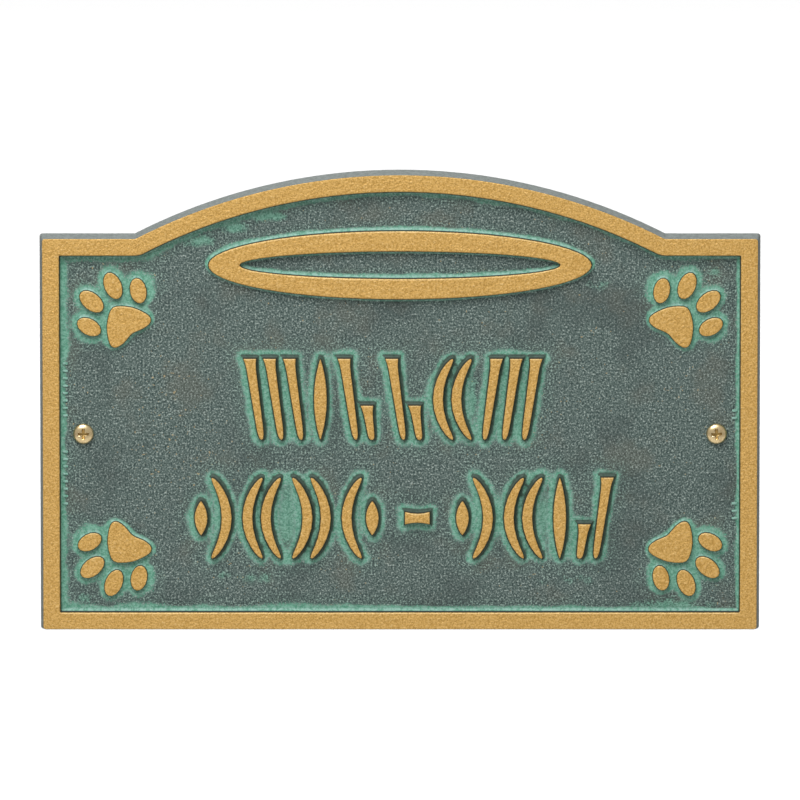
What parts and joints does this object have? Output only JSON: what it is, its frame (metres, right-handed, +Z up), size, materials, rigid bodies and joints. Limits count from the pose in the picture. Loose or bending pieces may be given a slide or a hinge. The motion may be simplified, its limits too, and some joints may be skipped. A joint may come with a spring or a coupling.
{
  "type": "commemorative wall plaque",
  "caption": "Cast wall plaque with an arched top, raised rim, oval halo ring, corner paw prints and rows of raised strokes, held to a wall by cross-recess screws.",
  "frame": {"origin": "on the flat back, midway between the two screws", "axes": "+X to the right along the long side, +Y out of the back into the wall, +Z up; the front faces -Y"},
  "size_m": [0.3058, 0.0283, 0.197],
  "materials": {
    "casting": "cast aluminium under a dark grey-green coat with verdigris in its corners and gold paint on everything raised",
    "screw_brass": "pale polished brass"
  },
  "bodies": {
    "root": {"plaque": "casting", "screw_left": "screw_brass", "screw_right": "screw_brass"}
  },
  "joints": []
}
